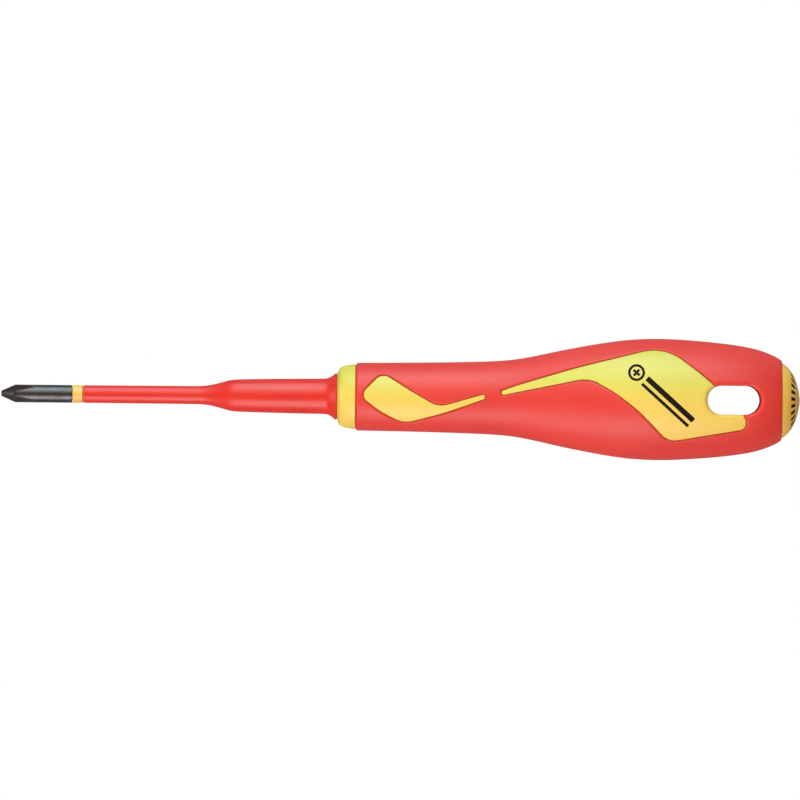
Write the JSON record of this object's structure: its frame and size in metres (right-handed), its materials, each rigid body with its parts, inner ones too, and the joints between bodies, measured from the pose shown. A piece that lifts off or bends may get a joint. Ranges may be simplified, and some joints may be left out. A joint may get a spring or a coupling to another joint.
{
  "type": "insulated screwdriver",
  "caption": "Insulated screwdriver with a slim sleeved blade, a cross-point tip, and a soft red grip with yellow panels and a hanging slot in its rear end.",
  "frame": {"origin": "middle of the flat end of the driver tip, on the tool's axis", "axes": "+X along the tool from the tip to the handle's end, +Z through the hanging slot, +Y across it"},
  "size_m": [0.1893, 0.0288, 0.028],
  "materials": {
    "steel": "satin hardened steel",
    "yellow_sleeve": "satin gloss",
    "red_sleeve": "satin gloss",
    "natural_plastic": "as moulded",
    "yellow_plastic": "satin",
    "red_grip": "matte soft-touch",
    "cap_plastic": "satin"
  },
  "bodies": {
    "root": {"blade": "steel", "inner_insulation": "yellow_sleeve", "outer_insulation": "red_sleeve", "anchor_core": "natural_plastic", "handle_core": "yellow_plastic", "front_collar": "yellow_plastic", "grip": "red_grip", "front_inlay_top": "yellow_plastic", "front_inlay_bottom": "yellow_plastic", "rear_inlay_top": "yellow_plastic", "rear_inlay_bottom": "yellow_plastic", "end_cap": "cap_plastic"}
  },
  "joints": []
}
